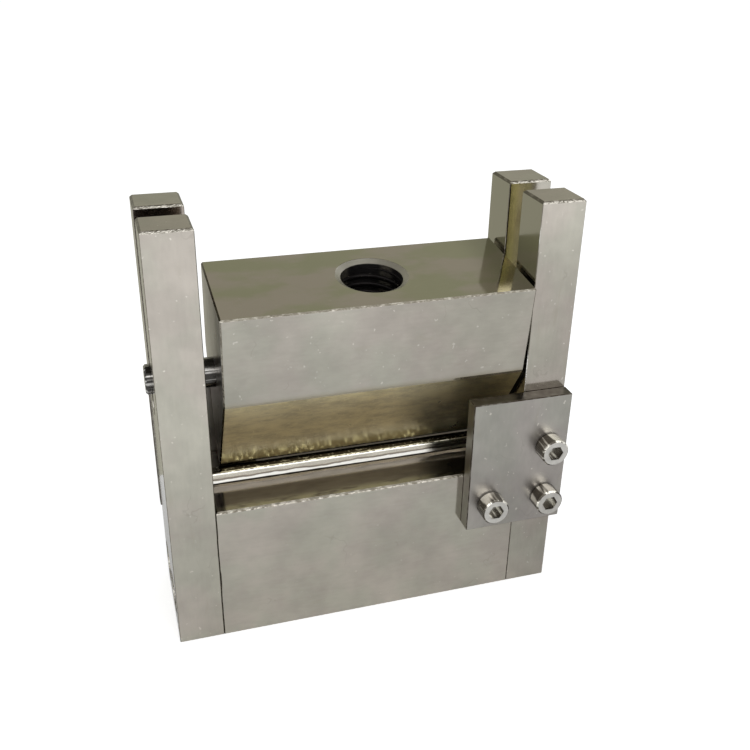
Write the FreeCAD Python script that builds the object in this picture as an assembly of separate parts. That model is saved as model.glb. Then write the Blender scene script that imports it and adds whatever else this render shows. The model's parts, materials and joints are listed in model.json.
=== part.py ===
import FreeCAD, Part
import math
import os

# A splitting tensile test fixture. A base block stands between two slotted uprights, and a
# wedge-shaped upper block hangs between them on a guide rod, above a bearing bar. The rod
# rises and drops in the slots, and the block swings on it until a stop plate catches its
# nose. Sizes are in millimetres. X runs to the right, Y to the back and Z up, and the
# origin is the middle of the underside.

# Frame: the base block and the two uprights
frame_depth = 40.0
overall_width = 140.0
upright_thickness = 15.5
upright_height = 150.0
base_height = 52.0
frame_edge_break = 0.2
frame_top_edge_break = 0.8

# Bearing bar along the middle of the base
bar_width = 5.0
bar_rise = 4.4
bar_edge_radius = 0.9
bar_end_clearance = 0.1
groove_depth = 2.0
groove_clearance = 0.02

# Guide rod and the slots that it slides in
rod_diameter = 10.0
rod_overhang = 2.0
rod_edge_break = 0.6
running_clearance = 0.05
slot_room_below_rod = 7.8

# Upper block, with heights measured from the rod's axis while the block hangs straight
block_depth = 40.0
block_rise = 30.5
block_face_drop = 1.2
nose_drop = 37.8
nose_width = 5.0
block_left_gap = 4.9
block_right_gap = 0.9
block_edge_break = 0.5
block_lean = 7.0
nose_clearance = 0.1

# Threaded seat in the top of the upper block, bored to the thread's crests
seat_offset = 1.4
seat_diameter = 20.75
seat_mouth_diameter = 24.5
seat_mouth_angle = 120.0
seat_depth = 20.0

# Stop plates, screwed over the joint of base and upright at two opposite corners
plate_width = 36.6
plate_height = 51.0
plate_thickness = 5.5
plate_lap = 20.5
plate_edge_break = 0.3
plate_proud = 0.4
upright_screw_inset = 7.3
base_screw_inset = 8.4
low_screw_inset = 10.3
high_screw_inset = 19.8

# Screws that hold the stop plates
plate_screw_diameter = 6.0
plate_screw_length = 16.0
plate_screw_head_diameter = 10.0
plate_screw_head_height = 6.0
plate_screw_socket_width = 5.0
plate_screw_socket_depth = 3.0

# Screws that pull the uprights onto the ends of the base
side_screw_diameter = 8.0
side_screw_length = 25.0
side_screw_head_diameter = 13.0
side_screw_head_height = 8.0
side_screw_socket_width = 6.0
side_screw_socket_depth = 4.0
side_screw_height = 14.0
side_screw_spread = 18.0

# Fits of the screws in their holes, all on the radius apart from the two depths
shank_clearance = 0.4
thread_clearance = 0.05
counterbore_clearance = 1.0
counterbore_spare_depth = 0.4
tapped_hole_spare_depth = 3.0
screw_edge_break = 0.5

# Places that follow from the sizes
half_outer = overall_width / 2
half_inner = half_outer - upright_thickness
half_depth = frame_depth / 2
rod_radius = rod_diameter / 2
slot_radius = rod_radius + running_clearance
bar_top = base_height + bar_rise
nose_reach = math.hypot(nose_width / 2 - block_edge_break, nose_drop)
rod_height = bar_top + nose_clearance + nose_reach
slot_floor = rod_height - rod_radius - slot_room_below_rod
block_left = block_left_gap - half_inner
block_right = half_inner - block_right_gap
plate_bottom = base_height - plate_lap
plate_front = half_depth + plate_thickness
plate_right = half_outer + plate_proud
plate_left = plate_right - plate_width
upright_screw_x = plate_right - upright_screw_inset
base_screw_x = plate_left + base_screw_inset
low_screw_z = plate_bottom + low_screw_inset
high_screw_z = plate_bottom + plate_height - high_screw_inset
counterbore_depth = side_screw_head_height + counterbore_spare_depth
side_screw_places = (-side_screw_spread / 2, side_screw_spread / 2)
plate_screw_places = {
    "high": (upright_screw_x, high_screw_z),
    "low": (upright_screw_x, low_screw_z),
    "base": (base_screw_x, low_screw_z),
}

# What a cut runs past the solid that it opens
overcut = 1.0

ORIGIN = FreeCAD.Vector(0, 0, 0)
RIGHT = FreeCAD.Vector(1, 0, 0)
BACK = FreeCAD.Vector(0, 1, 0)
UP = FreeCAD.Vector(0, 0, 1)


def block_between(x_range, y_range, z_range):
    """A rectangular block between low and high places on each axis."""
    ranges = (x_range, y_range, z_range)
    corner = FreeCAD.Vector(*(low for low, high in ranges))
    return Part.makeBox(*(high - low for low, high in ranges), corner)


def extruded(outline, x_low, x_high):
    """Extrude a closed outline of (y, z) places along X. A pair of places is an arc's middle
    and end."""
    edges = []
    here = FreeCAD.Vector(x_low, *outline[0])
    for step in outline[1:] + outline[:1]:
        if isinstance(step[0], tuple):
            middle, end = (FreeCAD.Vector(x_low, *place) for place in step)
            edges.append(Part.Arc(here, middle, end).toShape())
        else:
            end = FreeCAD.Vector(x_low, *step)
            edges.append(Part.LineSegment(here, end).toShape())
        here = end
    return Part.Face(Part.Wire(edges)).extrude(RIGHT * (x_high - x_low))


def cut(solid, *tools):
    """Cut the tools away and return the one solid that is left."""
    left = solid.cut(Part.makeCompound(tools))
    return left.Solids[0]


def break_frame_edges(solid):
    """Break the edges of a frame piece, the ones round its top more than the rest."""
    below_top = solid.BoundBox.ZMax - 2 * frame_top_edge_break
    top_edges = [edge for edge in solid.Edges if edge.BoundBox.ZMin > below_top]
    solid = solid.makeChamfer(frame_top_edge_break, top_edges)
    plain = [edge for edge in solid.Edges if edge.BoundBox.ZMin < below_top]
    return solid.makeChamfer(frame_edge_break, plain)


def to_rear(shape):
    """Take something of the front stop plate to its place at the back left corner."""
    return shape.rotated(ORIGIN, UP, 180)


def cap_screw(diameter, length, head_diameter, head_height, socket_width, socket_depth):
    """A socket head cap screw that stands on the underside of its head, shank down."""
    shank_radius = diameter / 2
    head_radius = head_diameter / 2
    outline = [
        (0, -length),
        (shank_radius, -length),
        (shank_radius, 0),
        (head_radius, 0),
        (head_radius, head_height - screw_edge_break),
        (head_radius - screw_edge_break, head_height),
        (0, head_height),
    ]
    corners = [FreeCAD.Vector(radius, 0, height) for radius, height in outline]
    body = Part.Face(Part.makePolygon(corners + corners[:1])).revolve(ORIGIN, UP, 360)
    floor = head_height - socket_depth
    first_corner = FreeCAD.Vector(socket_width / 2 / math.cos(math.pi / 6), 0, floor)
    turns = [FreeCAD.Rotation(UP, 60 * sixth) for sixth in range(7)]
    hexagon = Part.makePolygon([turn.multVec(first_corner) for turn in turns])
    socket = Part.Face(hexagon).extrude(UP * (socket_depth + overcut))
    return cut(body, socket)


def plate_screw(x, z):
    """A screw in the front stop plate."""
    screw = cap_screw(
        plate_screw_diameter,
        plate_screw_length,
        plate_screw_head_diameter,
        plate_screw_head_height,
        plate_screw_socket_width,
        plate_screw_socket_depth,
    )
    seat = FreeCAD.Vector(x, -plate_front, z)
    return screw.rotated(ORIGIN, RIGHT, 90).translated(seat)


def side_screw(y):
    """A screw through the right upright into the end of the base."""
    screw = cap_screw(
        side_screw_diameter,
        side_screw_length,
        side_screw_head_diameter,
        side_screw_head_height,
        side_screw_socket_width,
        side_screw_socket_depth,
    )
    seat = FreeCAD.Vector(half_outer - counterbore_depth, y, side_screw_height)
    return screw.rotated(ORIGIN, BACK, 90).translated(seat)


def plate_tapped_hole(x, z):
    """The hole that a screw of the front stop plate is driven into."""
    radius = plate_screw_diameter / 2 + thread_clearance
    depth = plate_screw_length - plate_thickness + tapped_hole_spare_depth
    mouth = FreeCAD.Vector(x, -half_depth - overcut, z)
    return Part.makeCylinder(radius, depth + overcut, mouth, BACK)


def side_tapped_hole(y):
    """The hole in the right end of the base that a side screw is driven into."""
    radius = side_screw_diameter / 2 + thread_clearance
    grip = side_screw_length - (upright_thickness - counterbore_depth)
    mouth = FreeCAD.Vector(half_inner + overcut, y, side_screw_height)
    return Part.makeCylinder(radius, grip + tapped_hole_spare_depth + overcut, mouth, -RIGHT)


def side_screw_passage(y):
    """The stepped hole that a side screw takes through the right upright."""
    outside = FreeCAD.Vector(half_outer + overcut, y, side_screw_height)
    head_radius = side_screw_head_diameter / 2 + counterbore_clearance
    head_room = Part.makeCylinder(head_radius, counterbore_depth + overcut, outside, -RIGHT)
    shank_radius = side_screw_diameter / 2 + shank_clearance
    shank_room = Part.makeCylinder(
        shank_radius, upright_thickness + 2 * overcut, outside, -RIGHT
    )
    return head_room.fuse(shank_room)


def base_block():
    """The base, grooved along its top and tapped at its ends and under the stop plates."""
    body = block_between((-half_inner, half_inner), (-half_depth, half_depth), (0, base_height))
    body = break_frame_edges(body)
    groove_half = bar_width / 2 + groove_clearance
    groove = block_between(
        (-half_inner - overcut, half_inner + overcut),
        (-groove_half, groove_half),
        (base_height - groove_depth, base_height + overcut),
    )
    right_holes = [side_tapped_hole(y) for y in side_screw_places]
    left_holes = [hole.rotated(ORIGIN, UP, 180) for hole in right_holes]
    plate_hole = plate_tapped_hole(base_screw_x, low_screw_z)
    return cut(body, groove, plate_hole, to_rear(plate_hole), *right_holes, *left_holes)


def right_upright():
    """An upright with its open slot and side screw holes, before its stop plate's holes."""
    slot_middle = slot_floor + slot_radius
    outline = [
        (-half_depth, 0),
        (half_depth, 0),
        (half_depth, upright_height),
        (slot_radius, upright_height),
        (slot_radius, slot_middle),
        ((0, slot_floor), (-slot_radius, slot_middle)),
        (-slot_radius, upright_height),
        (-half_depth, upright_height),
    ]
    post = extruded(outline, half_inner, half_outer)
    post = break_frame_edges(post)
    return cut(post, *(side_screw_passage(y) for y in side_screw_places))


def lower_bearing_bar():
    """The bar in the base's groove, with its two upper long edges rounded."""
    half_length = half_inner - bar_end_clearance
    half_width = bar_width / 2
    bar = block_between(
        (-half_length, half_length),
        (-half_width, half_width),
        (base_height - groove_depth, bar_top),
    )
    upper_edges = [
        edge
        for edge in bar.Edges
        if abs(edge.CenterOfMass.x) < half_width and edge.CenterOfMass.z > base_height
    ]
    return bar.makeFillet(bar_edge_radius, upper_edges)


def guide_rod():
    """The rod through the upper block, its ends standing out of both slots."""
    half_length = half_outer + rod_overhang
    start = FreeCAD.Vector(-half_length, 0, rod_height)
    rod = Part.makeCylinder(rod_radius, 2 * half_length, start, RIGHT)
    rims = [edge for edge in rod.Edges if edge.Curve.TypeId == "Part::GeomCircle"]
    return rod.makeChamfer(rod_edge_break, rims)


def threaded_seat():
    """The hole in the block's top for the testing machine's adapter, block hanging straight."""
    x = (block_left + block_right) / 2 + seat_offset
    floor = FreeCAD.Vector(x, 0, block_rise - seat_depth)
    bore = Part.makeCylinder(seat_diameter / 2, seat_depth + overcut, floor, UP)
    slope = math.tan(math.radians(seat_mouth_angle / 2))
    mouth_depth = (seat_mouth_diameter - seat_diameter) / 2 / slope
    mouth = Part.makeCone(
        seat_diameter / 2,
        seat_mouth_diameter / 2,
        mouth_depth,
        FreeCAD.Vector(x, 0, block_rise - mouth_depth),
        UP,
    )
    return bore.fuse(mouth)


def upper_block():
    """The loading block: a flat-topped wedge that is bored for the rod, at its rest lean."""
    half_top = block_depth / 2
    half_nose = nose_width / 2
    outline = [
        (-half_nose, -nose_drop),
        (half_nose, -nose_drop),
        (half_top, -block_face_drop),
        (half_top, block_rise),
        (-half_top, block_rise),
        (-half_top, -block_face_drop),
    ]
    wedge = extruded(outline, block_left, block_right)
    wedge = wedge.makeChamfer(block_edge_break, wedge.Edges)
    bore_start = FreeCAD.Vector(block_left - overcut, 0, 0)
    bore_length = block_right - block_left + 2 * overcut
    bore = Part.makeCylinder(rod_radius + running_clearance, bore_length, bore_start, RIGHT)
    wedge = cut(wedge, bore, threaded_seat())
    return wedge.rotated(ORIGIN, RIGHT, block_lean).translated(UP * rod_height)


def front_stop_plate():
    """The plate at the front right corner, standing a little proud of the upright's side."""
    plate = block_between(
        (plate_left, plate_right),
        (-plate_front, -half_depth),
        (plate_bottom, plate_bottom + plate_height),
    )
    plate = plate.makeChamfer(plate_edge_break, plate.Edges)
    radius = plate_screw_diameter / 2 + shank_clearance
    length = plate_thickness + 2 * overcut
    holes = [
        Part.makeCylinder(radius, length, FreeCAD.Vector(x, -plate_front - overcut, z), BACK)
        for x, z in plate_screw_places.values()
    ]
    return cut(plate, *holes)


def all_nodes():
    """Every separate piece of the fixture, by its name."""
    nodes = {
        "base_block": base_block(),
        "lower_bearing_bar": lower_bearing_bar(),
        "guide_rod": guide_rod(),
        "upper_block": upper_block(),
        "front_stop_plate": front_stop_plate(),
    }
    nodes["rear_stop_plate"] = to_rear(nodes["front_stop_plate"])
    for place, (x, z) in plate_screw_places.items():
        screw = plate_screw(x, z)
        nodes[f"front_plate_screw_{place}"] = screw
        nodes[f"rear_plate_screw_{place}"] = to_rear(screw)
    post = right_upright()
    post_holes = [plate_tapped_hole(upright_screw_x, z) for z in (low_screw_z, high_screw_z)]
    nodes["right_upright"] = cut(post, *post_holes)
    rear_holes = [to_rear(hole) for hole in post_holes]
    nodes["left_upright"] = cut(post.rotated(ORIGIN, UP, 180), *rear_holes)
    for place, y in zip(("front", "rear"), side_screw_places):
        nodes[f"right_side_screw_{place}"] = side_screw(y)
        nodes[f"left_side_screw_{place}"] = side_screw(-y).rotated(ORIGIN, UP, 180)
    return nodes


os.makedirs("parts", exist_ok=True)
for node, shape in all_nodes().items():
    shape.exportStep(f"parts/{node}.step")
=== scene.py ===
import json
import math

import bmesh
import bpy
from mathutils import Matrix, Vector


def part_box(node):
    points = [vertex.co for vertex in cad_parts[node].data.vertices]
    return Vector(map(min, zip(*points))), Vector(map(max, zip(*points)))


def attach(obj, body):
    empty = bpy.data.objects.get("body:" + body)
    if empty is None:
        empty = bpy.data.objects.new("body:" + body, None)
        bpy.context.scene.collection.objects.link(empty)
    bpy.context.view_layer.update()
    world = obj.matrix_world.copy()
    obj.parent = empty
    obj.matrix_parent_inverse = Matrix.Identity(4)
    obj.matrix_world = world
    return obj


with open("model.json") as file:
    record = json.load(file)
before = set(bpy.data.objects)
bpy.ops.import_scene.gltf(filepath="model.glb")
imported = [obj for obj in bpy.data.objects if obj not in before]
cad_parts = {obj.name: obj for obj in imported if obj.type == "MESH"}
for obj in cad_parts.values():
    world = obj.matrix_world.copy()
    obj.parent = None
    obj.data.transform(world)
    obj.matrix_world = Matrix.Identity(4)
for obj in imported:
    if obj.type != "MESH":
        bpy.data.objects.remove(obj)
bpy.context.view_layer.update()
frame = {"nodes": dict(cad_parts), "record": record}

# Camera, worked out from the photograph's straight edges
camera_place = Vector((-0.0803, -0.2753, 0.2309))
camera_azimuth = 17.45
camera_elevation = 26.71
camera_roll = 1.01
camera_lens = 44.2
sensor_width = 36.0
nearest_seen = 0.01

# The floor: its colours, its glow, and the distances in which glow and shade come and go
floor_half_width = 9.0
floor_colour = (0.80, 0.80, 0.79, 1)
floor_shade_colour = (0.50, 0.49, 0.48, 1)
floor_roughness = 0.9
floor_lift = 0.50
reflected_lift = 0.27
lift_range = (0.06, 0.22)
shade_range = (0.03, 0.10)
shade_fade_range = (0.60, 0.32)

# The surroundings, and the cards that only reflections see
white = (1, 1, 1, 1)
ambient_colour = (0.97, 0.98, 1.0, 1)
ambient_level = 0.65
rear_card_colour = (0.415, 0.405, 0.335, 1)
ceiling_card_colour = (0.26, 0.25, 0.22, 1)
ceiling_height = 2.4
ceiling_front = -1.7
rear_wall_at = 2.2
card_half_width = 2.5
rear_card_front = 0.09
card_lift = 0.0006

# Lamps, all turned to one place in the object
lamp_target = Vector((0, 0, 0.07))
lamps = {
    "front_softbox": {"place": (0.28, -0.80, 1.25), "width": 1.7, "height": 0.95, "power": 5.2},
    "front_window": {"place": (0.45, -2.1, 0.92), "width": 2.4, "height": 0.62, "power": 7.0},
    "left_window": {"place": (-1.6, -0.7, 0.9), "width": 1.4, "height": 1.2, "power": 5.0},
}

# Metals: the tints that the plating drifts between, the worn and stained ones, the painted shade,
# highlight and reflection tints, the screws
plate_warm = (0.520, 0.480, 0.430, 1)
plate_cool = (0.497, 0.482, 0.418, 1)
# Bright plate, for real specks and wear, and for painted highlights on front top edges
plate_bright_and_highlight = (0.90, 0.865, 0.795, 1)
plate_brown = (0.38, 0.350, 0.265, 1)
slope_olive = (0.90, 0.83, 0.590, 1)
slope_brown = (0.62, 0.57, 0.42, 1)
slope_pale = (0.95, 0.90, 0.66, 1)
plate_dull = (0.17, 0.155, 0.125, 1)
stop_warm = (0.440, 0.415, 0.390, 1)
stop_cool = (0.420, 0.415, 0.375, 1)
stop_edge_painted_shade = (0.26, 0.245, 0.205, 1)
stop_top_painted_shade = (0.050, 0.040, 0.032, 1)
block_top_olive = (0.440, 0.445, 0.310, 1)
block_top_warm = (0.535, 0.480, 0.430, 1)
seat_wall_painted_shade = (0.075, 0.070, 0.070, 1)
inner_face_painted_reflection = (0.95, 0.94, 0.80, 1)
base_top_painted_reflection = (0.165, 0.145, 0.130, 1)
base_top_edge_painted_reflection = (0.33, 0.31, 0.24, 1)
slot_gold = (0.76, 0.73, 0.485, 1)
slot_brown = (0.56, 0.53, 0.35, 1)
slot_shadow = (0.42, 0.37, 0.33, 1)
seat_rim_painted_shade = (0.50, 0.485, 0.425, 1)
end_painted_reflection = (0.70, 0.68, 0.66, 1)
# Near black, for real dark joints and for painted shade in gaps, recesses and along contact lines
grime_and_painted_shade = (0.030, 0.026, 0.020, 1)
bar_steel = (0.86, 0.845, 0.80, 1)
bar_dull = (0.80, 0.785, 0.70, 1)
bar_top_painted_shade = (0.085, 0.070, 0.050, 1)
rod_bright_and_highlight = (0.50, 0.49, 0.47, 1)
rod_painted_dark = (0.050, 0.048, 0.045, 1)
thread_painted_shade = (0.022, 0.020, 0.020, 1)
thread_dull = tuple(0.72 * part for part in thread_painted_shade[:3]) + (1,)
screw_steel = (0.74, 0.73, 0.69, 1)
screw_side_painted_dark = (0.09, 0.08, 0.065, 1)
screw_side_painted_bright = (0.90, 0.875, 0.79, 1)

# Thread turns in the adapter seat
thread_pitch = 0.0030
thread_height = 0.00045
thread_half_root = 0.0011
thread_steps_per_turn = 64
thread_sink = 0.00004
thread_run_out = 14
thread_thinnest = 0.05
thread_crest_narrowing = 5

# Places from the frame
rod_low, rod_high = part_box("guide_rod")
rod_place = (rod_low + rod_high) / 2
base_low, base_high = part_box("base_block")
seat = next(m for m in frame["record"]["mounts"] if m["name"] == "adapter_thread")
seat_axis = Vector(seat["axis"])
seat_radius = seat["dims"]["r_mm"] / 1000
seat_length = seat["dims"]["length_mm"] / 1000
lean = math.atan2(-seat_axis.y, seat_axis.z)

# The upper block as it hangs straight, in heights over the rod's axis
seat_rise = (Vector(seat["pos_m"]) - rod_place).dot(seat_axis)
seat_mouth = seat_rise + seat_length / 2
seat_bottom_gap = 0.0005
seat_chamfer = 0.00108
seat_bottom = seat_mouth - seat_length - seat_bottom_gap
block_top = seat_mouth + seat_chamfer
block_half_depth = 0.020
shoulder = -0.0012
nose_tip = -0.0378

# Places and widths of small features
upright_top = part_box("left_upright")[1].z
slot_half_width = 0.0050
slot_foot_drop = 0.0128
slot_foot = rod_place.z - slot_foot_drop
bar_foot_top = 0.00145
bar_foot_tilt = 19
bar_upper_tilt = 9
screw_socket_share = 0.30
knurl_teeth = 44
plate_screw_head = 0.006
side_screw_head = 0.008

# Distances and heights where marks begin, and where they are whole
slot_wall = (slot_half_width + 0.00035, slot_half_width + 0.00015)
slot_over_foot = (slot_foot - 0.0003, slot_foot)
slot_gold_end = (0.0070, 0.0095)
shoulder_browning = (shoulder + 0.0022, shoulder - 0.0004)
nose_paling = (0.55 * nose_tip, nose_tip)
nose_line = (nose_tip + 0.0012, nose_tip + 0.0008)
block_top_right_darkening = (0.036, 0.052)
end_front_border = (block_half_depth - 0.0010, block_half_depth - 0.0006)
end_top_border = (block_top - 0.0010, block_top - 0.0006)
seat_wall = (seat_radius + 0.0003, seat_radius + 0.0001)
seat_below_mouth = (seat_mouth, seat_mouth - 0.0004)
seat_over_bottom = (seat_bottom - 0.0002, seat_bottom)
seat_below_top = (block_top, block_top - 0.0001)
seat_surround = (block_half_depth, 0.8 * block_half_depth)
base_top_edge = (base_high.y - 0.0050, base_high.y - 0.0015)
joint_end = (base_high.z + 0.0004, base_high.z - 0.0002)
bar_joint = (0.00045, 0.00025)
bar_foot = (bar_foot_top + 0.0002, bar_foot_top - 0.0002)
bar_upper = (bar_foot_top + 0.0005, bar_foot_top + 0.0010)
screw_socket = (screw_socket_share + 0.01, screw_socket_share - 0.01)
screw_seat = (-0.0010, -0.0004)

# How far a normal points along an axis where a mask begins, and where it is whole
face_on = (0.90, 0.96)
face_left = (-0.90, -0.96)
face_under = (-0.30, -0.40)
level_face = (0.80, 0.96)
cut_side = (0.96, 0.80)
bar_crown = (0.85, 0.95)
broken_edge = (0.88, 0.80)
edge_upward = (0.30, 0.45)
edge_forward = (-0.30, -0.45)
corner_outward = (-0.45, -0.60)

# Sockets of the mix node for colours, by number, because its other kinds have the same names
mix_factor = 0
mix_first = 6
mix_second = 7
mix_result = 2


class Nodes:
    """A tree of shader nodes. Most methods add a node and return its output."""

    def __init__(self, tree):
        self.tree = tree

    def feed(self, socket, value):
        """Join a socket to a node's output, or set it to a number, place or colour."""
        if isinstance(value, bpy.types.NodeSocket):
            self.tree.links.new(value, socket)
        else:
            socket.default_value = value

    def add(self, kind, inputs, output=0, **settings):
        node = self.tree.nodes.new(kind)
        for name, value in settings.items():
            setattr(node, name, value)
        for key, value in inputs.items():
            self.feed(node.inputs[key], value)
        return node.outputs[output]

    def coordinates(self, kind):
        return self.add("ShaderNodeTexCoord", {}, output=kind)

    def ray(self, kind):
        """1 for rays of one kind, and 0 for all others."""
        return self.add("ShaderNodeLightPath", {}, output=f"Is {kind} Ray")

    def compute(self, operation, first, second=0.0):
        return self.add("ShaderNodeMath", {0: first, 1: second}, operation=operation)

    def absolute(self, value):
        return self.compute("ABSOLUTE", value)

    def plus(self, first, second):
        return self.compute("ADD", first, second)

    def minus(self, first, second):
        return self.compute("SUBTRACT", first, second)

    def times(self, first, *others):
        for other in others:
            first = self.compute("MULTIPLY", first, other)
        return first

    def largest(self, first, *others):
        for other in others:
            first = self.compute("MAXIMUM", first, other)
        return first

    def between(self, value, none_at, whole_at):
        """0 at one value and 1 at the other, with a smooth step between them."""
        inputs = {"Value": value, "From Min": none_at, "From Max": whole_at}
        return self.add("ShaderNodeMapRange", inputs, interpolation_type="SMOOTHSTEP")

    def strip(self, value, at, border, core):
        """1 where a value is nearer than the core to a place, and 0 beyond the border."""
        return self.between(self.absolute(self.minus(value, at)), border, core)

    def scaled(self, value, low, high, span=(0.0, 1.0)):
        """A value out of a span brought to the range from low to high."""
        inputs = {"Value": value, "From Min": span[0], "From Max": span[1], "To Min": low, "To Max": high}
        return self.add("ShaderNodeMapRange", inputs)

    def noise(self, place, scale, detail, roughness=0.5):
        inputs = {"Vector": place, "Scale": scale, "Detail": detail, "Roughness": roughness}
        return self.add("ShaderNodeTexNoise", inputs)

    def patches(self, place, scale, detail, over, roughness=0.5):
        """Noise as soft patches: 0 at the first of two levels of it, and 1 at the second."""
        return self.between(self.noise(place, scale, detail, roughness), *over)

    def drift(self, place, scale, detail, levels):
        """Noise that wanders between two levels."""
        return self.scaled(self.noise(place, scale, detail), *levels)

    def vector(self, x=0.0, y=0.0, z=0.0):
        return self.add("ShaderNodeCombineXYZ", {"X": x, "Y": y, "Z": z})

    def parts(self, vector):
        node = self.tree.nodes.new("ShaderNodeSeparateXYZ")
        self.feed(node.inputs[0], vector)
        return tuple(node.outputs)

    def stretch(self, place, factors):
        return self.add("ShaderNodeVectorMath", {0: place, 1: factors}, operation="MULTIPLY")

    def offset(self, vector, by):
        return self.add("ShaderNodeVectorMath", {0: vector, 1: by}, operation="ADD")

    def length(self, vector):
        return self.add("ShaderNodeVectorMath", {0: vector}, output=1, operation="LENGTH")

    def seeded(self, place, seed):
        """A place moved by a seed, so that no two pieces show the same noise."""
        return self.offset(place, (seed, 2 * seed, 3 * seed))

    def mix(self, factor, first, second, blend="MIX"):
        inputs = {mix_factor: factor, mix_first: first, mix_second: second}
        return self.add("ShaderNodeMix", inputs, mix_result, data_type="RGBA", blend_type=blend)

    def lay(self, colour, tint, mask, share=1.0):
        """A colour with a share of a tint laid over it where a mask is 1."""
        if share != 1.0:
            mask = self.times(mask, share)
        return self.mix(mask, colour, tint)

    def shade(self, colour, level):
        """A colour made lighter or darker by a level around 1."""
        return self.mix(1.0, colour, self.vector(level, level, level), blend="MULTIPLY")

    def bump(self, height, strength, distance, below=None):
        """A normal bent by a height, over another one if there is one below."""
        inputs = {"Height": height, "Strength": strength, "Distance": distance}
        if below is not None:
            inputs["Normal"] = below
        return self.add("ShaderNodeBump", inputs)


class Shader(Nodes):
    """The nodes of one surface."""

    def __init__(self, name):
        self.material = bpy.data.materials.new(name)
        self.material.use_nodes = True
        super().__init__(self.material.node_tree)
        self.surface = self.tree.nodes["Principled BSDF"]

    def finish(self, colour, roughness, normal):
        """Bare metal of a colour, roughness and normal."""
        self.surface.inputs["Metallic"].default_value = 1.0
        self.feed(self.surface.inputs["Base Color"], colour)
        self.feed(self.surface.inputs["Roughness"], roughness)
        self.feed(self.surface.inputs["Normal"], normal)
        return self.material


class Plating(Shader):
    """Nickel plate over ground steel. The caller adds what is special and finishes it.

    X, y and z are the place's parts, which in the leaning block are measured from the
    rod's axis, as the block hangs straight. Spot is the place that noise is taken at,
    moved by the seed. Grain_spot is spot stretched so that marks run in the direction
    with the small factor in along.
    """

    def __init__(self, name, seed, tints=(plate_warm, plate_cool), along=(0.25, 1, 1), leaning=False):
        super().__init__(name)
        place = self.coordinates("Object")
        normal = self.coordinates("Normal")
        if leaning:
            place = straight(self, place, tuple(rod_place))
            normal = straight(self, normal, (0, 0, 0))
        self.x, self.y, self.z = self.parts(place)
        self.facing = self.parts(normal)
        self.edges = edge_mask(self, self.facing)
        self.spot = self.seeded(place, seed)
        self.grain_spot = self.stretch(self.spot, along)
        self.satin = 0.0
        tint = self.patches(self.spot, scale=45, detail=3, over=(0.38, 0.62))
        self.colour = self.mix(tint, *tints)
        mottle(self)

    def cover(self, tint, mask, share=1.0):
        self.colour = self.lay(self.colour, tint, mask, share)


def straight(shader, vector, origin):
    """Turn a place or direction in the leaning block to where the block hangs straight."""
    inputs = {"Vector": vector, "Location": origin, "Rotation": (lean, 0, 0)}
    return shader.add("ShaderNodeMapping", inputs, vector_type="TEXTURE")


def edge_mask(shader, facing):
    """1 on broken edges, whose normals lie between the faces' own."""
    sizes = [shader.absolute(part) for part in facing]
    return shader.between(shader.largest(*sizes), *broken_edge)


def mottle(shader):
    """Cloudy brightness, fine grain, specks and hairlines, as on plate over ground steel."""
    clouds = shader.patches(shader.spot, scale=38, detail=3, over=(0.30, 0.70))
    clouds = shader.scaled(clouds, low=0.92, high=1.07)
    blots = shader.patches(shader.spot, scale=150, detail=3, over=(0.30, 0.70))
    blots = shader.scaled(blots, low=0.96, high=1.04)
    grain = shader.drift(shader.grain_spot, scale=800, detail=3, levels=(0.93, 1.07))
    shader.colour = shader.shade(shader.colour, shader.times(clouds, blots, grain))
    specks = shader.patches(shader.spot, scale=640, detail=1, over=(0.74, 0.78))
    shader.cover(plate_bright_and_highlight, specks, share=0.45)
    smudges = shader.patches(shader.grain_spot, scale=260, detail=3, over=(0.62, 0.74))
    shader.cover(plate_brown, smudges, share=0.16)
    shader.cover(plate_dull, hairlines(shader), share=0.14)


def hairlines(shader):
    """1 along a few short thin lines, as scratches and fine cracks in the plate."""
    waves = shader.noise(shader.spot, scale=70, detail=3)
    line = shader.strip(waves, at=0.5, border=0.008, core=0.003)
    return shader.times(line, shader.patches(shader.spot, scale=95, detail=0, over=(0.64, 0.70)))


def edge_wear_and_highlight(shader, crest, drop, wear, shine):
    """How bright the front top edge is: a ragged line of wear and painted highlight, from a drop below
    the crest down.
    """
    upward = shader.between(shader.facing[2], *edge_upward)
    forward = shader.between(shader.facing[1], *edge_forward)
    ragged = shader.drift(shader.spot, scale=700, detail=2, levels=(-0.00030, 0.00030))
    line = shader.between(shader.plus(shader.z, ragged), crest - 0.8 * drop, crest - drop)
    worn = shader.patches(shader.spot, scale=640, detail=3, over=wear)
    glints = shader.drift(shader.spot, scale=300, detail=2, levels=(0.35 * shine, 1.05 * shine))
    return shader.times(shader.edges, upward, forward, line, worn, glints)


def rubbed_corner(shader):
    """1 along the front left corner, in patches that are long from top to bottom."""
    forward = shader.between(shader.facing[1], *corner_outward)
    leftward = shader.between(shader.facing[0], *corner_outward)
    tall = shader.stretch(shader.spot, (1, 1, 0.15))
    rubbed = shader.patches(tall, scale=300, detail=3, over=(0.48, 0.56))
    return shader.times(shader.edges, forward, leftward, rubbed)


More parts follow.
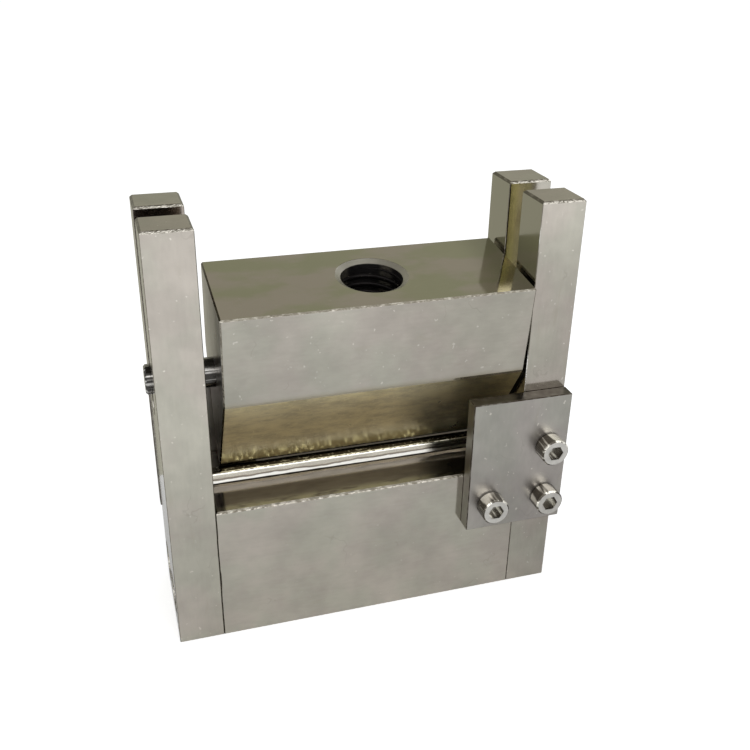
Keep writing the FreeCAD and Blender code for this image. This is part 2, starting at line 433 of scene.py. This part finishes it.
def finish_plate(
    shader,
    crest,
    polish=0.085,
    wear=(0.44, 0.54),
    drop=0.00050,
    shine=1.0,
    rubbed=False,
    edge_tint=plate_dull,
):
    """Edge wear with painted highlights, roughness and the bumps of grain, ripple and nicked edges.

    Crest is the height of the piece's top. The front top edge has a line of wear and painted
    highlight from a drop below it, at the levels of noise that wear gives and as bright as shine says.
    """
    ragged = shader.patches(shader.spot, scale=500, detail=2, over=(0.35, 0.55))
    ragged = shader.scaled(ragged, low=0.6, high=1.0)
    shader.cover(edge_tint, shader.times(shader.edges, ragged))
    # painted highlight, mixed with wear, along the front top edge
    shader.cover(plate_bright_and_highlight, edge_wear_and_highlight(shader, crest, drop, wear, shine))
    if rubbed:
        shader.cover(bar_steel, rubbed_corner(shader))
    roughness = shader.drift(shader.spot, scale=130, detail=3, levels=(polish, polish + 0.10))
    roughness = shader.plus(roughness, shader.times(shader.edges, 0.10))
    roughness = shader.plus(roughness, shader.satin)
    ripple = shader.noise(shader.spot, scale=48, detail=1)
    normal = shader.bump(ripple, strength=0.12, distance=0.0006)
    grain = shader.noise(shader.grain_spot, scale=520, detail=3)
    normal = shader.bump(grain, strength=0.05, distance=0.00005, below=normal)
    nicks = shader.times(shader.edges, shader.noise(shader.spot, scale=1300, detail=2))
    normal = shader.bump(nicks, strength=0.7, distance=0.00022, below=normal)
    return shader.finish(shader.colour, roughness, normal)


def upright_plating(name, seed, inner_x):
    """An upright's plating, with dark inner edges, painted shade on the left slot's walls, and a painted
    reflection on the right upright's inner face and slot walls.
    """
    shader = Plating(name, seed, along=(1, 1, 0.2))
    wall = shader.between(shader.absolute(shader.y), *slot_wall)
    wall = shader.times(wall, shader.between(shader.z, *slot_over_foot))
    if inner_x > 0:
        # painted reflection: a pale golden tint on the inner face and golden clouds on the slot walls
        shader.cover(inner_face_painted_reflection, shader.between(shader.facing[0], *face_left))
        shader.cover(right_slot_painted_reflection(shader, inner_x), wall)
    else:
        shader.cover(slot_shadow, wall)
    inner_edge = shader.strip(shader.x, at=inner_x, border=0.00030, core=0.00018)
    shader.cover(plate_dull, inner_edge, share=0.6)
    return shader


def right_slot_painted_reflection(shader, inner_x):
    """A painted reflection in golden clouds on the slot's walls near the block, with a painted shadow
    line at its start.
    """
    clouds = shader.patches(shader.spot, scale=160, detail=6, over=(0.36, 0.74), roughness=0.70)
    cast = shader.mix(clouds, slot_gold, slot_brown)
    beyond = shader.between(shader.minus(shader.x, inner_x), *slot_gold_end)
    cast = shader.lay(cast, shader.colour, beyond)
    mouth = shader.strip(shader.x, at=inner_x, border=0.00080, core=0.00048)
    return shader.lay(cast, grime_and_painted_shade, mouth)


def block_plating(name, seed):
    """The upper block's plating: painted reflection on its slopes, top and satin ends, painted shade
    along its nose, towards its left end and in its dark thread seat.
    """
    shader = Plating(name, seed, leaning=True)
    # painted shade: the block grows darker towards its left end
    left_painted_shade = shader.scaled(shader.x, low=0.82, high=1.02, span=(-0.05, 0.05))
    shader.colour = shader.shade(shader.colour, left_painted_shade)
    wide = shader.stretch(shader.spot, (0.6, 1, 1))
    blotches = shader.noise(wide, scale=95, detail=6, roughness=0.68)
    height = shader.plus(shader.z, shader.scaled(blotches, low=-0.0012, high=0.0012))
    # browner on the front face towards the shoulder and below it
    shader.cover(plate_brown, shader.between(height, *shoulder_browning), share=0.8)
    # painted reflection on the downward-facing slopes
    slopes = shader.between(shader.facing[2], *face_under)
    shader.cover(slope_painted_reflection(shader, blotches), slopes)
    # painted shadow along the nose tip, over the bar
    shader.cover(grime_and_painted_shade, shader.between(shader.z, *nose_line))
    # painted reflection on the block's top
    on_top = shader.between(shader.facing[2], *face_on)
    shader.cover(block_top_painted_reflection(shader, wide), on_top, share=0.8)
    # painted reflection on the ends, with painted shade at their borders
    ends = shader.between(shader.absolute(shader.facing[0]), *face_on)
    shader.cover(block_end_painted_reflection(shader), ends)
    wall, rim = seat_masks(shader)
    # painted shade on the seat's chamfer and on its wall inside
    shader.cover(seat_rim_painted_shade, rim)
    shader.cover(seat_wall_painted_shade, wall)
    satin = shader.times(shader.largest(ends, slopes), 0.20)
    shader.satin = shader.largest(satin, shader.times(rim, 0.30))
    return shader


def slope_painted_reflection(shader, blotches):
    """Painted reflection on the block's downward slopes, brown and olive, which grows pale towards the
    nose.
    """
    streaks = shader.stretch(shader.spot, (0.45, 1, 1))
    streaks = shader.patches(streaks, scale=260, detail=7, over=(0.32, 0.66), roughness=0.72)
    slope_tint = shader.mix(streaks, slope_brown, slope_olive)
    slope_tint = shader.lay(slope_tint, slope_olive, shader.between(blotches, 0.48, 0.72))
    flecks = shader.patches(shader.spot, scale=800, detail=2, over=(0.62, 0.72))
    slope_tint = shader.lay(slope_tint, slope_pale, flecks, share=0.6)
    pale = shader.noise(shader.stretch(shader.spot, (0.3, 1, 1)), scale=300, detail=3)
    pale = shader.plus(pale, shader.between(shader.z, *nose_paling))
    return shader.lay(slope_tint, slope_pale, shader.between(pale, 0.66, 1.25), share=0.75)


def block_top_painted_reflection(shader, wide):
    """Painted reflection on the block's top, in olive and warm clouds, darker towards its right end."""
    clouds = shader.patches(wide, scale=75, detail=4, over=(0.40, 0.60))
    cast = shader.mix(clouds, block_top_olive, block_top_warm)
    return shader.lay(cast, grime_and_painted_shade, shader.between(shader.x, *block_top_right_darkening), share=0.40)


def block_end_painted_reflection(shader):
    """The block's ends: a pale painted reflection, streaked from top to bottom, with painted shade along
    their borders.
    """
    tall = shader.stretch(shader.spot, (1, 1, 0.05))
    bands = shader.patches(tall, scale=420, detail=3, over=(0.35, 0.75))
    tint = shader.lay(end_painted_reflection, plate_warm, bands, share=0.7)
    front = shader.between(shader.absolute(shader.y), *end_front_border)
    top = shader.between(shader.z, *end_top_border)
    ragged = shader.patches(shader.spot, scale=260, detail=2, over=(0.35, 0.60))
    return shader.lay(tint, grime_and_painted_shade, shader.times(shader.largest(front, top), ragged), share=0.8)


def seat_masks(shader):
    """1 inside the adapter seat, and 1 on the chamfer around its mouth."""
    reach = shader.length(shader.vector(shader.minus(shader.x, seat["pos_m"][0]), shader.y))
    over_bottom = shader.between(shader.z, *seat_over_bottom)
    below_mouth = shader.between(shader.z, *seat_below_mouth)
    below_top = shader.between(shader.z, *seat_below_top)
    wall = shader.times(shader.between(reach, *seat_wall), below_mouth, over_bottom)
    rim = shader.times(shader.between(reach, *seat_surround), below_top, over_bottom)
    return wall, rim


def base_plating(name, seed):
    """The base block's plating, with a dark painted reflection on its top that is lighter in streaks near
    its edges, and with its left joint.
    """
    shader = Plating(name, seed)
    wide = shader.stretch(shader.spot, (0.3, 1, 1))
    streaks = shader.noise(wide, scale=420, detail=3)
    near_edge = shader.between(shader.absolute(shader.y), *base_top_edge)
    near_edge = shader.times(near_edge, shader.between(streaks, 0.35, 0.55))
    top = shader.mix(near_edge, base_top_painted_reflection, base_top_edge_painted_reflection)
    top = shader.shade(top, shader.scaled(streaks, low=0.70, high=1.30))
    # painted reflection on the base's top
    shader.cover(top, shader.between(shader.facing[2], *face_on))
    shader.cover(grime_and_painted_shade, left_joint(shader))
    return shader


def left_joint(shader):
    """1 along the dark, jogged line of the left joint between base and upright."""
    jog = shader.drift(shader.vector(z=shader.z), scale=60, detail=4, levels=(-0.0008, 0.0008))
    line = shader.strip(shader.plus(shader.x, jog), at=base_low.x, border=0.00032, core=0.00016)
    return shader.times(line, shader.between(shader.z, *joint_end))


def stop_plating(name, seed):
    """A stop plate's duller plating, with ragged painted shade on its cut sides, edges and level faces.
    """
    shader = Plating(name, seed, tints=(stop_warm, stop_cool), along=(1, 1, 0.3))
    ragged = shader.drift(shader.spot, scale=380, detail=3, levels=(0.45, 1.0))
    # painted shade on the cut sides and the level faces
    sides = shader.between(shader.absolute(shader.facing[1]), *cut_side)
    shader.cover(stop_edge_painted_shade, shader.times(sides, ragged))
    level = shader.between(shader.absolute(shader.facing[2]), *level_face)
    shader.cover(stop_top_painted_shade, shader.times(level, ragged))
    return shader


def rod_finish():
    """The guide rod: painted dark, with bright lines along it, which stand in for reflected bands."""
    shader = Shader("rod_steel")
    place = shader.coordinates("Object")
    facing = shader.parts(shader.coordinates("Normal"))
    lines = shader.noise(shader.stretch(place, (0.03, 1, 1)), scale=620, detail=2)
    # painted reflection: bright lines on a dark body
    colour = shader.mix(shader.between(lines, 0.50, 0.62), rod_painted_dark, rod_bright_and_highlight)
    clouds = shader.drift(place, scale=300, detail=2, levels=(0.75, 1.20))
    ends = shader.between(shader.absolute(facing[0]), *face_on)
    colour = shader.lay(shader.shade(colour, clouds), rod_bright_and_highlight, ends)
    roughness = shader.drift(place, scale=240, detail=2, levels=(0.08, 0.20))
    return shader.finish(colour, roughness, shader.bump(lines, strength=0.3, distance=0.00008))


def thread_finish():
    """The cut thread in the seat: painted near black as shade, dull and finely ringed."""
    shader = Shader("thread_steel")
    place = shader.seeded(shader.coordinates("Object"), seed=9.11)
    edges = edge_mask(shader, shader.parts(shader.coordinates("Normal")))
    clouds = shader.patches(place, scale=160, detail=3, over=(0.40, 0.72))
    pits = shader.patches(place, scale=1300, detail=1, over=(0.70, 0.76))
    # painted shade: the thread is near black inside the seat
    colour = shader.mix(clouds, thread_painted_shade, thread_dull)
    colour = shader.lay(colour, plate_brown, pits, share=0.5)
    roughness = shader.drift(place, scale=240, detail=2, levels=(0.50, 0.62))
    lines = shader.noise(shader.stretch(place, (3.0, 0.5, 1.0)), scale=900, detail=2)
    normal = shader.bump(lines, strength=0.25, distance=0.00004)
    nicks = shader.times(edges, shader.noise(place, scale=1500, detail=1))
    normal = shader.bump(nicks, strength=0.2, distance=0.00008, below=normal)
    return shader.finish(colour, roughness, normal)


def bar_finish():
    """The bearing bar: duller above a foot made bright by an upturned normal and a painted highlight,
    dark where it meets the base, with painted shade on its crown.
    """
    shader = Shader("bar_steel")
    place = shader.coordinates("Object")
    facing = shader.parts(shader.coordinates("Normal"))
    streaks = shader.noise(shader.stretch(place, (0.12, 1, 1)), scale=900, detail=3)
    height = shader.minus(shader.parts(place)[2], base_high.z)
    height = shader.plus(height, shader.scaled(streaks, low=-0.00025, high=0.00025))
    waves = shader.stretch(place, (0.5, 1, 0.2))
    waves = shader.drift(waves, scale=240, detail=3, levels=(-0.0008, 0.0008))
    waved = shader.plus(height, waves)
    on_side = shader.between(shader.absolute(facing[1]), *face_on)
    foot = shader.times(shader.between(waved, *bar_foot), on_side)
    upper = shader.times(shader.between(waved, *bar_upper), on_side)
    dull = shader.shade(bar_dull, shader.scaled(streaks, low=0.75, high=1.25))
    bright = shader.shade(bar_steel, shader.scaled(streaks, low=0.85, high=1.15))
    # painted highlight: the foot is brighter than the duller part above
    colour = shader.mix(foot, dull, bright)
    colour = shader.lay(colour, grime_and_painted_shade, shader.between(height, *bar_joint))
    # painted shade on the crown and edges under the nose, with flecks
    flecks = shader.patches(place, scale=800, detail=3, over=(0.56, 0.66))
    crown = shader.lay(bar_top_painted_shade, bar_dull, flecks, share=0.7)
    colour = shader.lay(colour, crown, shader.between(facing[2], *bar_crown))
    ragged = shader.patches(place, scale=900, detail=2, over=(0.48, 0.58))
    edge = shader.lay(bar_top_painted_shade, bar_dull, ragged, share=0.8)
    colour = shader.lay(colour, edge, edge_mask(shader, facing))
    roughness = shader.scaled(streaks, low=0.08, high=0.24)
    normal = shader.bump(streaks, strength=0.3, distance=0.00005, below=bar_normal(shader, foot, upper))
    return shader.finish(colour, roughness, normal)


def bar_normal(shader, foot, upper):
    """The bar's normal, turned upwards on its foot and less so on its upper part."""
    foot_rise = shader.times(foot, math.tan(math.radians(bar_foot_tilt)))
    upper_rise = shader.times(upper, math.tan(math.radians(bar_upper_tilt)))
    upward = shader.vector(z=shader.plus(foot_rise, upper_rise))
    normal = shader.add("ShaderNodeNewGeometry", {}, output="Normal")
    return shader.add("ShaderNodeVectorMath", {0: shader.offset(normal, upward)}, operation="NORMALIZE")


def screw_finish(name, sample, axis, head_height):
    """Bright stainless: knurled sides in painted reflection bands of dark and bright, dark where the head
    sits, a duller socket.
    """
    low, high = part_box(sample)
    shader = Shader(name)
    place = shader.coordinates("Object")
    facing = shader.parts(shader.coordinates("Normal"))
    spans = shader.parts(shader.coordinates("Generated"))
    middle = 0.5
    across = [shader.minus(spans[k], middle) for k in range(3) if k != axis]
    end_on = shader.between(shader.absolute(facing[axis]), *face_on)
    side_on = shader.minus(1.0, end_on)

    # painted reflection: the sides in dark and bright bands
    bands = shader.stretch(place, by_axis(axis, 0.12, 1))
    bands = shader.patches(bands, scale=460, detail=2, over=(0.49, 0.61))
    sides = shader.mix(bands, screw_side_painted_dark, screw_side_painted_bright)
    from_middle = shader.absolute(shader.minus(spans[axis], middle))
    depth = shader.times(shader.minus(middle, from_middle), (high - low)[axis])
    seated = shader.between(shader.minus(depth, head_height), *screw_seat)
    sides = shader.lay(sides, grime_and_painted_shade, seated, share=0.85)
    clouds = shader.drift(place, scale=420, detail=3, levels=(0.78, 1.18))
    colour = shader.shade(shader.mix(end_on, sides, screw_steel), clouds)

    reach = shader.length(shader.vector(*across))
    socket = shader.between(reach, *screw_socket)
    # darker on the socket's walls
    colour = shader.lay(colour, grime_and_painted_shade, shader.times(socket, side_on), share=0.2)
    blots = shader.patches(place, scale=230, detail=2, over=(0.42, 0.58))
    colour = shader.lay(colour, plate_dull, shader.times(socket, end_on, blots), share=0.25)
    pits = shader.patches(place, scale=1300, detail=1, over=(0.68, 0.76))
    colour = shader.lay(colour, plate_brown, pits, share=0.5)

    rings = shader.noise(shader.stretch(place, by_axis(axis, 3, 0.4)), scale=900, detail=2)
    normal = shader.bump(rings, strength=0.25, distance=0.00004)
    turn = shader.times(shader.compute("ARCTAN2", *across), knurl_teeth)
    knurl = shader.times(shader.compute("SINE", turn), side_on)
    normal = shader.bump(knurl, strength=0.35, distance=0.00010, below=normal)
    roughness = shader.drift(place, scale=300, detail=2, levels=(0.10, 0.30))
    return shader.finish(colour, roughness, normal)


def by_axis(axis, along, across):
    """Three factors: one for an axis and another for the two axes across it."""
    return tuple(along if k == axis else across for k in range(3))


def dress(node, material):
    """Give a node of the frame its one material."""
    piece = frame["nodes"][node]
    if not piece.material_slots:
        piece.data.materials.append(material)
    for slot in piece.material_slots:
        slot.material = material


def dress_frame():
    """Finish every node of the frame in its own metal."""
    base = base_plating("base_plating", seed=0.31)
    dress("base_block", finish_plate(base, base_high.z, wear=(0.42, 0.58), shine=0.45))
    left = upright_plating("left_upright_plating", seed=1.47, inner_x=base_low.x)
    left.cover(grime_and_painted_shade, left_joint(left))
    dress("left_upright", finish_plate(left, upright_top, wear=(0.26, 0.34), drop=0.00028))
    right = upright_plating("right_upright_plating", seed=2.73, inner_x=base_high.x)
    right_metal = finish_plate(right, upright_top, wear=(0.38, 0.46), drop=0.00036, rubbed=True)
    dress("right_upright", right_metal)
    block = block_plating("upper_block_plating", seed=3.59)
    dress("upper_block", finish_plate(block, block_top, polish=0.045, wear=(0.44, 0.60), shine=0.65))
    for seed, side in ((4.21, "front"), (5.83, "rear")):
        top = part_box(side + "_stop_plate")[1].z
        shader = stop_plating(side + "_plate_plating", seed)
        metal = finish_plate(shader, top, polish=0.30, wear=(0.62, 0.72), edge_tint=stop_top_painted_shade)
        dress(side + "_stop_plate", metal)
    dress("lower_bearing_bar", bar_finish())
    dress("guide_rod", rod_finish())
    plate_screws = screw_finish(
        "plate_screw_steel", "front_plate_screw_high", axis=1, head_height=plate_screw_head
    )
    side_screws = screw_finish(
        "side_screw_steel", "left_side_screw_front", axis=0, head_height=side_screw_head
    )
    for node in frame["nodes"]:
        if "_plate_screw_" in node:
            dress(node, plate_screws)
        elif "_side_screw_" in node:
            dress(node, side_screws)


def seat_thread():
    """The turns of thread that stand in from the wall of the adapter seat.

    Their roots sink a little into the wall, their crests are narrower than their roots,
    and they fade in and out at their ends.
    """
    root = seat_radius + thread_sink
    turns = seat_length / thread_pitch - 1
    steps = round(turns * thread_steps_per_turn)
    mesh = bmesh.new()
    rows = []
    for step in range(steps + 1):
        share = step / steps
        angle = 2 * math.pi * turns * share
        height = (share - 0.5) * (seat_length - thread_pitch)
        fade = min(1.0, thread_run_out * share, thread_run_out * (1 - share))
        crest = root - thread_height * fade
        half = thread_half_root * max(fade, thread_thinnest)
        flat = half / thread_crest_narrowing
        outline = ((root, -half), (crest, -flat), (crest, flat), (root, half))
        row = [
            mesh.verts.new((r * math.cos(angle), r * math.sin(angle), height + rise))
            for r, rise in outline
        ]
        rows.append(row)
    for row, following in zip(rows, rows[1:]):
        for k in range(len(row)):
            ring = (row[k], row[k - 1], following[k - 1], following[k])
            mesh.faces.new(ring)
    mesh.faces.new(rows[0])
    mesh.faces.new(reversed(rows[-1]))
    bmesh.ops.recalc_face_normals(mesh, faces=mesh.faces)
    data = bpy.data.meshes.new("seat_thread")
    mesh.to_mesh(data)
    mesh.free()
    for polygon in data.polygons:
        polygon.use_smooth = True
    piece = bpy.data.objects.new("seat_thread", data)
    bpy.context.scene.collection.objects.link(piece)
    turn = Vector((0, 0, 1)).rotation_difference(seat_axis)
    data.transform(Matrix.Translation(seat["pos_m"]) @ turn.to_matrix().to_4x4())
    data.materials.append(thread_finish())
    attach(piece, "block")


def make_camera():
    """The photograph's view, from its place, three angles and lens."""
    azimuth, elevation, roll = (
        math.radians(angle) for angle in (camera_azimuth, camera_elevation, camera_roll)
    )
    ahead = Vector(
        (
            math.sin(azimuth) * math.cos(elevation),
            math.cos(azimuth) * math.cos(elevation),
            -math.sin(elevation),
        )
    )
    level = Vector((math.cos(azimuth), -math.sin(azimuth), 0))
    above = level.cross(ahead)
    right = math.cos(roll) * level + math.sin(roll) * above
    up = math.cos(roll) * above - math.sin(roll) * level
    camera = bpy.data.objects.new("camera", bpy.data.cameras.new("camera"))
    camera.data.sensor_width = sensor_width
    camera.data.lens = camera_lens
    camera.data.clip_start = nearest_seen
    turn = Matrix((right, up, -ahead)).transposed()
    camera.matrix_world = Matrix.Translation(camera_place) @ turn.to_4x4()
    bpy.context.scene.collection.objects.link(camera)
    bpy.context.scene.camera = camera


def make_sheet(name, half_width, near, far):
    """A flat stage sheet between two edges, each given by its depth and height."""
    corners = [(-half_width, *near), (half_width, *near), (half_width, *far), (-half_width, *far)]
    data = bpy.data.meshes.new(name)
    data.from_pydata(corners, [], [(0, 1, 2, 3)])
    piece = bpy.data.objects.new(name, data)
    bpy.context.scene.collection.objects.link(piece)
    return piece


def make_floor():
    """A pale floor that shows white and keeps the object's shadow."""
    near, far = (-floor_half_width, 0), (floor_half_width, 0)
    floor = make_sheet("floor", floor_half_width, near, far)
    shader = Shader("floor")
    surface = shader.surface
    surface.inputs["Roughness"].default_value = floor_roughness
    surface.inputs["Specular IOR Level"].default_value = 0.0
    surface.inputs["Emission Color"].default_value = white
    place = shader.coordinates("Object")
    reach = shader.length(place)
    direct = shader.times(shader.ray("Camera"), floor_lift)
    lift = shader.times(shader.between(reach, *lift_range), reflected_lift)
    reflected = shader.times(shader.largest(shader.ray("Glossy"), shader.ray("Transmission")), lift)
    shader.feed(surface.inputs["Emission Strength"], shader.plus(direct, reflected))
    right = shader.between(shader.parts(place)[0], *shade_range)
    right = shader.times(right, shader.between(reach, *shade_fade_range), shader.ray("Glossy"))
    shader.feed(surface.inputs["Base Color"], shader.mix(right, floor_colour, floor_shade_colour))
    floor.data.materials.append(shader.material)


def make_world():
    """White for the rays that show the background, and a softer light for all others."""
    world = bpy.data.worlds.new("studio")
    bpy.context.scene.world = world
    world.use_nodes = True
    nodes = Nodes(world.node_tree)
    nodes.tree.nodes.clear()
    ambient = nodes.add("ShaderNodeBackground", {"Color": ambient_colour, "Strength": ambient_level})
    backdrop = nodes.add("ShaderNodeBackground", {"Color": white, "Strength": 1.0})
    direct = nodes.largest(*[nodes.ray(kind) for kind in ("Camera", "Glossy", "Transmission")])
    either = nodes.add("ShaderNodeMixShader", {0: direct, 1: ambient, 2: backdrop})
    output = nodes.tree.nodes.new("ShaderNodeOutputWorld")
    nodes.feed(output.inputs["Surface"], either)


def make_card(name, near, far, colour):
    """A glowing studio card that only reflections see."""
    card = make_sheet(name, card_half_width, near, far)
    card.visible_camera = False
    card.visible_diffuse = False
    card.visible_shadow = False
    card.visible_transmission = False
    material = bpy.data.materials.new(name)
    material.use_nodes = True
    nodes = Nodes(material.node_tree)
    nodes.tree.nodes.clear()
    glow = nodes.add("ShaderNodeEmission", {"Color": colour, "Strength": 1.0})
    output = nodes.tree.nodes.new("ShaderNodeOutputMaterial")
    nodes.feed(output.inputs["Surface"], glow)
    card.data.materials.append(material)


def make_cards():
    """Olive grey behind and darker overhead, as the photograph's metal reflects."""
    floor_start, floor_end = (rear_card_front, card_lift), (rear_wall_at, card_lift)
    make_card("rear_floor_card", floor_start, floor_end, rear_card_colour)
    wall_foot, wall_top = (rear_wall_at, 0), (rear_wall_at, ceiling_height)
    make_card("rear_wall_card", wall_foot, wall_top, rear_card_colour)
    ceiling_start = (ceiling_front, ceiling_height)
    make_card("ceiling_card", ceiling_start, wall_top, ceiling_card_colour)


def make_lamp(name, place, width, height, power):
    """A rectangular lamp that is turned to the object."""
    lamp = bpy.data.objects.new(name, bpy.data.lights.new(name, "AREA"))
    lamp.data.shape = "RECTANGLE"
    lamp.data.size = width
    lamp.data.size_y = height
    lamp.data.energy = power
    lamp.location = place
    aim = lamp_target - Vector(place)
    lamp.rotation_euler = aim.to_track_quat("-Z", "Y").to_euler()
    bpy.context.scene.collection.objects.link(lamp)


scene = bpy.context.scene
scene.view_settings.view_transform = "Standard"
dress_frame()
seat_thread()
make_camera()
make_floor()
make_world()
make_cards()
for lamp_name, lamp_settings in lamps.items():
    make_lamp(lamp_name, **lamp_settings)
